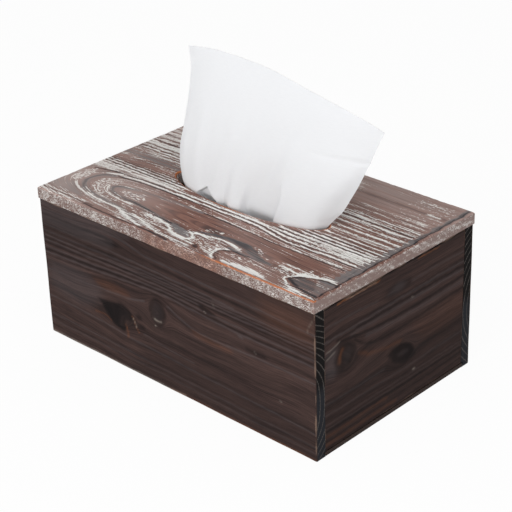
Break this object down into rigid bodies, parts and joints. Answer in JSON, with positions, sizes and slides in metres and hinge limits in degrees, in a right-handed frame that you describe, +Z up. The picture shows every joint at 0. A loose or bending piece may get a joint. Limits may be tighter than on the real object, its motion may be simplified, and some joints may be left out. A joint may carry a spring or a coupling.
{
  "type": "tissue box cover",
  "caption": "Rustic wooden tissue box cover: butt-jointed board walls, a fixed lid with an oval slot, a tissue standing in it, and a base panel that slides out at one end for loading.",
  "frame": {"origin": "under the middle of the box, on the surface that it stands on", "axes": "+X along the length towards the end where the base panel slides out, +Y to the back, +Z up"},
  "size_m": [0.2608, 0.1628, 0.2207],
  "materials": {
    "torched_fir": "torched, brushed and stained dark brown, matte",
    "whitewashed_fir": "wire-brushed brown with white wash in the grain, matte",
    "plywood": "stained dark brown, matte",
    "brad_steel": "bright drawn wire",
    "wood_filler": "filler stained with the boards",
    "tissue_paper": "soft white two-ply tissue"
  },
  "bodies": {
    "cover": {"front_board": "torched_fir", "back_board": "torched_fir", "left_end_board": "torched_fir", "right_end_board": "torched_fir", "lid_board": "whitewashed_fir", "front_brads": "brad_steel", "back_brads": "brad_steel", "lid_brads": "brad_steel", "front_fillers": "wood_filler", "back_fillers": "wood_filler", "lid_fillers": "wood_filler"},
    "panel": {"base_panel": "plywood"},
    "tissue": {"tissue_sheet": "tissue_paper"}
  },
  "joints": [
    {"name": "base_slide", "type": "slide", "parent": "cover", "child": "panel", "axis": [1, 0, 0], "range_m": [0, 0.255]},
    {"name": "tissue_pull", "type": "slide", "parent": "cover", "child": "tissue", "axis": [0, 0, 1], "range_m": [0, 0.06]}
  ]
}
